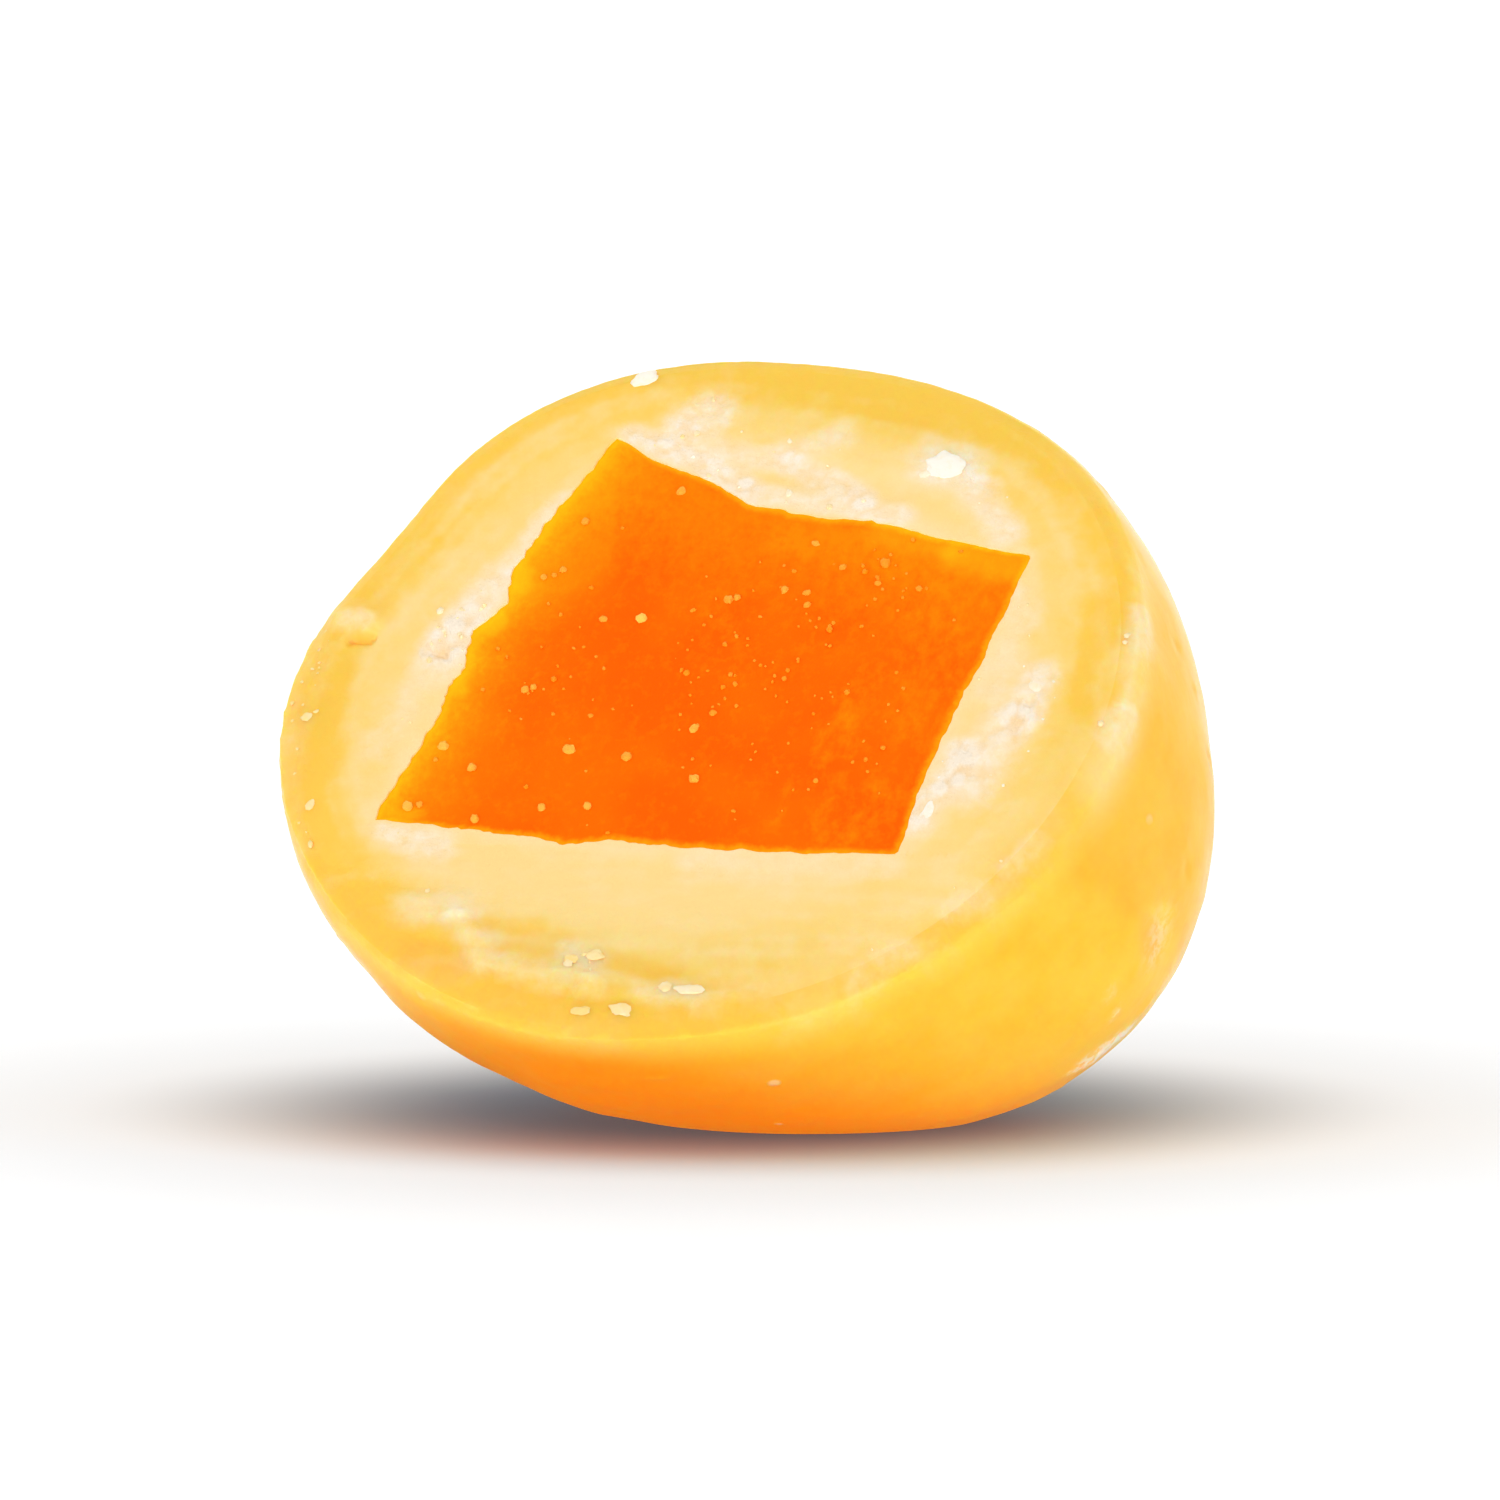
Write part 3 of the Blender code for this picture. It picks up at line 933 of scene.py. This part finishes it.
dice = papaya_dice()
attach(dice, "root")
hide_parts("papaya_core")

# Coat crumbs
# Bits of the pale coat that the knife broke off and pressed on again: a flake above the papaya, lumps near
# the rim, and a dust of fine crumbs in the crumbled places.

# Each crumb: across and up on the cut, half sizes along, across and out of the surface, all in mm, turn in
# degrees, and paleness
CRUMBS = (
    (4.05, 5.55, 0.44, 0.34, 0.10, -12, 1.0),
    (3.65, 5.30, 0.14, 0.10, 0.05, 10, 0.7),
    (-2.90, 7.85, 0.30, 0.19, 0.17, 20, 1.0),
    (-8.20, 1.10, 0.26, 0.14, 0.10, 20, 0.5),
    (-8.42, 1.30, 0.13, 0.10, 0.07, 60, 0.3),
    (0.50, -8.25, 0.36, 0.15, 0.16, -6, 0.5),
    (-0.05, -8.20, 0.20, 0.13, 0.15, 10, 0.3),
    (-2.15, -7.35, 0.17, 0.11, 0.04, 15, 0.1),
    (-1.65, -7.25, 0.20, 0.13, 0.04, -10, 0.2),
    (-0.95, -8.88, 0.26, 0.15, 0.04, -15, 0.2),
    (-1.85, -8.97, 0.22, 0.10, 0.03, 5, 0.0),
    (-2.70, -7.80, 0.25, 0.13, 0.06, -8, 0.1),
    (4.95, -3.45, 0.18, 0.30, 0.07, -15, 0.9),
    (6.78, -0.20, 0.18, 0.24, 0.08, 20, 0.7),
    (6.05, -1.95, 0.22, 0.17, 0.07, 40, 0.6),
    (-8.95, -1.30, 0.11, 0.13, 0.04, 10, 0.1),
    (-8.55, -3.60, 0.09, 0.13, 0.04, 40, 0.2),
)

# The dust: how many fine crumbs, their half sizes in mm, and how far outside the papaya they stay
DUST_COUNT = 150
DUST_SIZE = 0.030
DUST_SIZE_SPREAD = 0.022
DUST_LARGEST = 0.11
DUST_FROM_PAPAYA = 0.05

CRUMB_PALE = (1.0, 0.950, 0.840)
CRUMB_CREAM = (0.98, 0.740, 0.290)


def on_coat(across, up):
    """A point of the coat in line with a place on the cut in mm, and the way the coat faces there."""
    aside = 0.1
    rows = np.array(((across, up), (across + aside, up), (across, up + aside))) * MM
    rows = np.column_stack((rows, np.full(3, CUT_HEIGHT)))
    here, beside, above = coat_surface(rows / np.linalg.norm(rows, axis=1)[:, None])
    return Vector(here), Vector(np.cross(beside - here, above - here)).normalized()


def add_bit(mesh, place, half_sizes, turn, steps, uneven, shift):
    """Adds an uneven lump to a mesh at a place with a normal, half sunk in it. Gives its vertices."""
    point, facing = place
    bit = bmesh.ops.create_icosphere(mesh, subdivisions=steps, radius=1)["verts"]
    for vertex in bit:
        wander = noise.noise(vertex.co * 1.4 + shift) + 0.4 * noise.noise(vertex.co * 3.1 + shift)
        vertex.co *= 1 + uneven * wander
    upright = facing.to_track_quat("Z", "Y").to_matrix().to_4x4()
    sizes = Matrix.Diagonal((*(Vector(half_sizes) * MM), 1))
    matrix = Matrix.Translation(point) @ upright @ Matrix.Rotation(math.radians(turn), 4, "Z") @ sizes
    bmesh.ops.transform(mesh, matrix=matrix, verts=bit)
    return bit


def crumb_finish():
    """Broken yogurt coating: the palest of the coat, chalky, with a powdery grain."""
    crumb = Finish(bpy.data.materials.new("coat_crumbs"))
    place = crumb.in_mm()
    chalk = crumb.grain(place, 0.20, 3.0, 0.6)
    powder = crumb.grain(place, 0.07, 3.0, 0.6)
    pale = (crumb.measure("pale") + (chalk - 0.5) * 0.8).limited()
    return crumb.shown(
        crumb.principled(
            Base_Color=crumb.mix(pale, CRUMB_CREAM, CRUMB_PALE),
            Roughness=0.60 + (chalk - 0.5) * 0.2,
            Normal=crumb.relief((powder - 0.5) * 0.02),
            Specular_IOR_Level=0.2,
        )
    )


def coat_crumbs():
    """All the crumbs, in one mesh."""
    mesh = bmesh.new()
    pale = []
    for number, (across, up, *half_sizes, turn, paleness) in enumerate(CRUMBS):
        shift = Vector((number * 3.7, 1.3, 0))
        bit = add_bit(mesh, on_coat(across, up), half_sizes, turn, 3, 0.35, shift)
        pale += [paleness] * len(bit)
    draw = np.random.default_rng(4)
    shares = np.array([half_width * crumbling for _, _, half_width, _, crumbling in PALE_STROKES_AND_HIGHLIGHTS])
    for stroke in draw.choice(len(PALE_STROKES_AND_HIGHLIGHTS), DUST_COUNT, p=shares / shares.sum()):
        start, end, half_width, paleness, _ = PALE_STROKES_AND_HIGHLIGHTS[stroke]
        along = np.array(start) + np.subtract(end, start) * draw.random()
        across, up = along + draw.normal(0, half_width * 0.7, 2)
        if from_pocket(np.array(((across, up, 0),)) * MM)[0] < DUST_FROM_PAPAYA:
            continue
        size = min(DUST_SIZE + draw.exponential(DUST_SIZE_SPREAD), DUST_LARGEST)
        half_sizes = size * draw.uniform(0.6, 1.2, 3)
        turn = draw.uniform(0, 180)
        shift = Vector(draw.uniform(0, 9, 3))
        bit = add_bit(mesh, on_coat(across, up), half_sizes, turn, 1, 0.5, shift)
        pale += [paleness * draw.uniform(0.4, 1)] * len(bit)
    piece = set_down("coat_crumbs", mesh, crumb_finish(), sharp_angle=60)
    add_measures(piece, {"pale": pale})
    return piece


crumbs = coat_crumbs()
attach(crumbs, "root")

# Sugar specks
# Grains of the sugar that the papaya was candied in, laid bare by the knife: small clear crystals, half
# sunk in its cut face, some alone and many in loose fields.

# The specks that stand out: across and up on the cut and radius in mm, and clearness
SPECKS = (
    (-1.97, 1.41, 0.125, 1.00),
    (-2.79, 1.39, 0.100, 0.35),
    (-1.61, 4.76, 0.105, 0.45),
    (-3.59, 3.94, 0.090, 0.30),
    (-3.88, 2.66, 0.080, 0.40),
    (-4.05, 2.52, 0.070, 0.30),
    (-4.27, 2.46, 0.080, 0.40),
    (-5.77, -1.97, 0.105, 0.70),
    (-5.88, -2.33, 0.060, 0.30),
    (-5.07, -2.52, 0.095, 0.55),
    (-3.03, -2.02, 0.150, 0.60),
    (-1.75, -2.16, 0.110, 0.35),
    (-0.40, -1.39, 0.120, 0.55),
    (-0.21, -2.69, 0.120, 0.50),
    (-4.22, -0.47, 0.090, 0.40),
    (-4.05, -0.42, 0.090, 0.45),
    (-0.15, 1.95, 0.110, 0.35),
    (0.02, 2.02, 0.080, 0.35),
    (1.52, 3.45, 0.095, 0.40),
    (1.02, 2.24, 0.110, 0.45),
    (1.52, 2.17, 0.090, 0.30),
    (1.57, 1.85, 0.080, 0.30),
    (2.20, 2.85, 0.095, 0.30),
    (3.11, 2.98, 0.110, 0.15),
    (-3.39, -3.51, 0.110, 0.50),
    (-2.41, -3.45, 0.130, 0.50),
    (-4.79, -3.84, 0.110, 0.45),
    (-6.30, -3.55, 0.120, 0.65),
    (-6.05, -3.50, 0.080, 0.30),
    (2.76, -0.38, 0.070, 0.10),
    (-0.90, 0.10, 0.060, 0.10),
)

# Fields of fine specks: across, up, half sizes of the field in mm, and how many
SPECK_FIELDS = (
    (-0.2, 1.0, 0.6, 1.2, 26),
    (-4.2, -0.5, 0.5, 0.7, 10),
    (2.5, 2.9, 1.2, 0.6, 22),
    (2.0, 0.6, 1.6, 1.2, 46),
    (2.6, -1.8, 1.3, 1.2, 22),
    (-1.4, -1.6, 2.6, 1.6, 22),
    (-3.4, 0.8, 0.9, 1.2, 14),
)

# A fine speck's radius in mm: the least, the mean of what is drawn on top, and the largest
FINE_SPECK = 0.030
FINE_SPECK_SPREAD = 0.016
FINE_SPECK_LARGEST = 0.08

SUGAR_COLOUR = (1.0, 0.640, 0.130)
SUGAR_IN_SYRUP = (0.97, 0.320, 0.012)


def sugar_finish():
    """Sugar crystals soaked with the papaya's syrup, glossy, the large ones paler."""
    sugar = Finish(bpy.data.materials.new("sugar_specks"))
    clear = sugar.measure("clear")
    cloud = sugar.grain(sugar.in_mm(), 0.12)
    return sugar.shown(
        sugar.principled(
            Base_Color=sugar.mix((clear + (cloud - 0.5) * 0.4).limited(), SUGAR_IN_SYRUP, SUGAR_COLOUR),
            Roughness=0.22 + (cloud - 0.5) * 0.1,
            IOR=1.5,
            Specular_IOR_Level=0.15,
        )
    )


def sugar_specks():
    """All the specks, in one mesh."""
    mesh = bmesh.new()
    draw = np.random.default_rng(9)
    clear = []
    specks = list(SPECKS)
    for across, up, half_across, half_up, count in SPECK_FIELDS:
        for _ in range(count):
            radius = min(FINE_SPECK + draw.exponential(FINE_SPECK_SPREAD), FINE_SPECK_LARGEST)
            place = draw.normal((across, up), (half_across, half_up))
            specks.append((*place, radius, draw.uniform(0.0, 0.2)))
    for across, up, radius, clearness in specks:
        if from_pocket(np.array(((across, up, 0),)) * MM)[0] > -2 * radius:
            continue
        place = (Vector((across * MM, up * MM, CUT_HEIGHT - CORE_SINK)), Vector((0, 0, 1)))
        half_sizes = radius * draw.uniform(0.75, 1.15, 3)
        turn = draw.uniform(0, 180)
        shift = Vector(draw.uniform(0, 9, 3))
        bit = add_bit(mesh, place, half_sizes, turn, 2, 0.3, shift)
        clear += [clearness] * len(bit)
    piece = set_down("sugar_specks", mesh, sugar_finish(), sharp_angle=30)
    add_measures(piece, {"clear": clear})
    return piece


specks = sugar_specks()
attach(specks, "root")

# Floor, light and camera
# A pale floor with a faint even glow of its own, and a painted grey shadow close to the candy, cool in tint
# against the candy's orange light, under soft white light from all round, as in a product picture. The
# camera looks from the front, a little from above.

VIEW_RISE = math.radians(5)
VIEW_DISTANCE = 0.40
VIEW_LENS = 450
VIEW_AIM = Vector((0, 0, 7.9)) * MM

# Brightness of the studio's walls, round the horizon, and of its ceiling, and the heights between which the
# one fades into the other, from 0 at the horizon to 1 straight up
SKY_LOW = 1.06
SKY_HIGH = 0.66
WALLS_END = 0.15
CEILING_STARTS = 0.5

# Far soft lights: brightness, spread in degrees, degrees round from +X, and degrees up. The one from below
# stands for the light that the pale floor throws on the candy's underside.
PANELS = {
    "overhead": (0.07, 60, -105, 62),
    "front": (0.05, 50, -90, 4),
    "under": (0.50, 60, -85, -60),
    "back": (0.07, 60, 90, 35),
}

# The floor's colours and glow in the open and in its painted shadow round the candy, and where the painted
# shadow weakens and ends, in mm from its middle
FLOOR_COLOUR = (0.80, 0.80, 0.80)
PAINTED_SHADOW_FLOOR = (0.09, 0.106, 0.122)
FLOOR_GLOW = 0.26
OPEN_GLOW = (1, 1, 1)
PAINTED_SHADOW_GLOW = (0.20, 0.29, 0.37)
SHADE_MIDDLE = (0, 2, 0)
FULL_SHADE_ENDS = 4.0
SHADE_ENDS = 15.0
GLOW_SHADE_ENDS = 34.0

scene = bpy.context.scene
scene.view_settings.view_transform = "Standard"
scene.view_settings.look = "Medium High Contrast"
sky = Finish(bpy.data.worlds.new("studio"))
toward = sky.node("ShaderNodeTexCoord", {}, {}, "Generated")
rise = sky.node("ShaderNodeSeparateXYZ", {}, {"Vector": toward}, "Z")
brightness = SKY_LOW - rise.over(WALLS_END, CEILING_STARTS) * (SKY_LOW - SKY_HIGH)
scene.world = sky.shown(sky.node("ShaderNodeBackground", {}, {"Color": (1, 1, 1), "Strength": brightness}))

floor_mesh = bmesh.new()
bmesh.ops.create_circle(floor_mesh, cap_ends=True, segments=96, radius=0.6)
floor_data = bpy.data.meshes.new("floor")
floor_mesh.to_mesh(floor_data)
floor_mesh.free()
floor_finish = Finish(bpy.data.materials.new("floor"))
floor_place = floor_finish.in_mm()
from_shade = floor_finish.node(
    "ShaderNodeVectorMath", {"operation": "DISTANCE"}, {0: floor_place, 1: SHADE_MIDDLE}, "Value"
)
floor_shader = floor_finish.principled(
    Base_Color=floor_finish.mix(from_shade.over(FULL_SHADE_ENDS, SHADE_ENDS), PAINTED_SHADOW_FLOOR, FLOOR_COLOUR),
    Roughness=0.7 + floor_finish.grain(floor_place, 3.0) * 0.1,
    Specular_IOR_Level=0.1,
    Emission_Color=floor_finish.mix(
        from_shade.over(FULL_SHADE_ENDS, GLOW_SHADE_ENDS), PAINTED_SHADOW_GLOW, OPEN_GLOW
    ),
    Emission_Strength=FLOOR_GLOW,
)
floor_data.materials.append(floor_finish.shown(floor_shader))
floor = bpy.data.objects.new("floor", floor_data)
scene.collection.objects.link(floor)


def add_panel(name, brightness, spread, turn, rise):
    """Adds a far soft light. The floor lets one from below through, and it makes no glint."""
    light = bpy.data.lights.new(name, "SUN")
    light.use_shadow = rise > 0
    light.energy = brightness * math.pi
    light.angle = math.radians(spread)
    panel = bpy.data.objects.new(name, light)
    source = direction(math.radians(turn), math.radians(rise))
    panel.rotation_euler = source.to_track_quat("Z", "Y").to_euler()
    panel.visible_glossy = rise > 0
    scene.collection.objects.link(panel)


for panel_name, panel_facts in PANELS.items():
    add_panel(panel_name, *panel_facts)

camera_data = bpy.data.cameras.new("camera")
camera_data.lens = VIEW_LENS
camera_data.clip_start = 0.01
camera_data.clip_end = 5
camera = bpy.data.objects.new("camera", camera_data)
back = direction(-math.pi / 2, VIEW_RISE)
camera.location = VIEW_AIM + back * VIEW_DISTANCE
camera.rotation_euler = back.to_track_quat("Z", "Y").to_euler()
scene.collection.objects.link(camera)
scene.camera = camera
